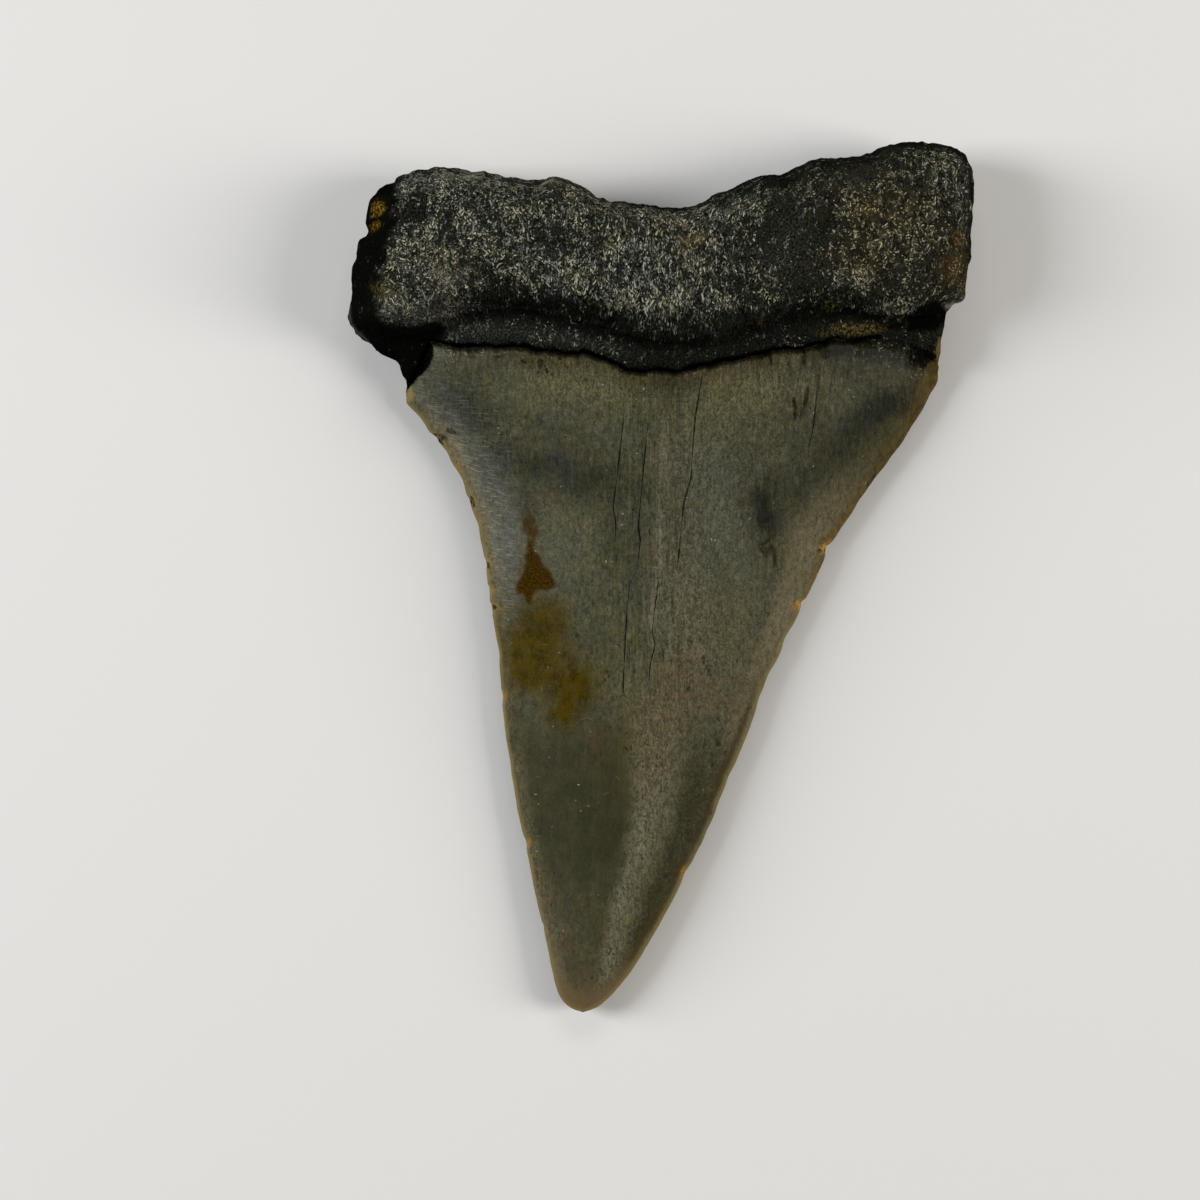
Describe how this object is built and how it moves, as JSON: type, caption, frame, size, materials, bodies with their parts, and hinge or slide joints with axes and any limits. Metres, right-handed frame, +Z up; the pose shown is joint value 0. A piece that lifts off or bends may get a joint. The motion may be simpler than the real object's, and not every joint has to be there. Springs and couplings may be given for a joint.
{
  "type": "fossil shark tooth",
  "caption": "Large fossil shark tooth lying flat: a triangular blade-like crown with smooth enamel and thin cutting edges, and a thick rough two-lobed root that swells above it",
  "frame": {"origin": "centre of the tooth's outline on the plane it rests on, lowest point at z = 0", "axes": "+Z up, out of the swollen face of the root that lies uppermost; +Y along the tooth from the crown's tip to the root; +X across the tooth, to the right when it is seen from above with the root at the top"},
  "size_m": [0.0402, 0.0561, 0.0118],
  "materials": {
    "fossil_tooth": "grey-green mineralised enamel with a satin sheen on the crown and amber cutting edges; coarse, near-black, cream-flecked porous root"
  },
  "bodies": {
    "root": {"tooth": "fossil_tooth"}
  },
  "joints": []
}
